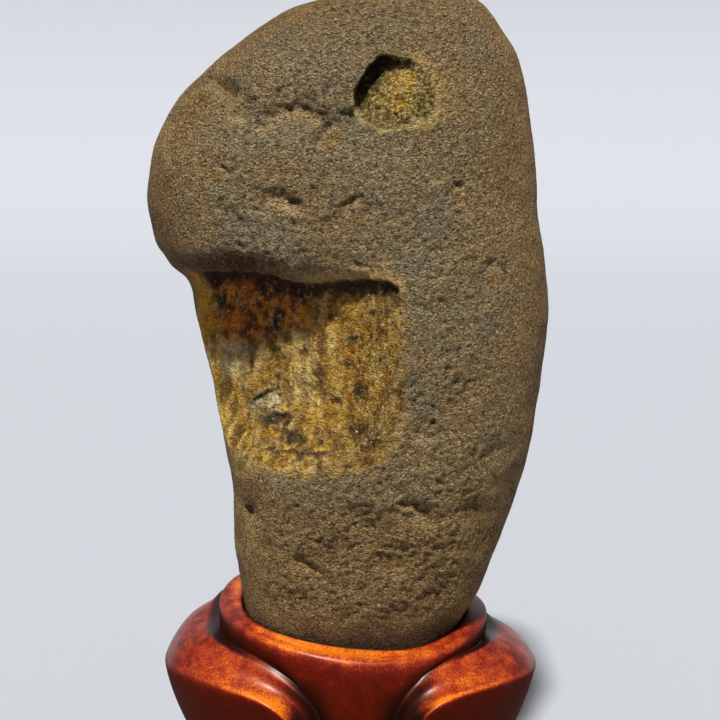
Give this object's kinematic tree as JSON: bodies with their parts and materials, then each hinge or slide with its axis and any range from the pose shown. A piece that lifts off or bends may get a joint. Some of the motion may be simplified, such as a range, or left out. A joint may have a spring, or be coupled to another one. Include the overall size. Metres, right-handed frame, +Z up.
{
  "type": "scholars rock on stand",
  "caption": "Upright water-worn river stone with an old break and a small hollow in its front, set in the socket of a carved, lacquered wooden stand with an oval collar.",
  "frame": {"origin": "near the middle of the stand's flat underside, on the surface that it stands on", "axes": "+Z up, -Y towards the front with the break and the hollow, +X to the right seen from the front"},
  "size_m": [0.0782, 0.0506, 0.163],
  "materials": {
    "river_stone": "matt, grainy water-worn skin with ochre fresh breaks",
    "lacquered_wood": "clear red-brown lacquer over carved hardwood"
  },
  "bodies": {
    "root": {"stone": "river_stone", "stand": "lacquered_wood"}
  },
  "joints": []
}
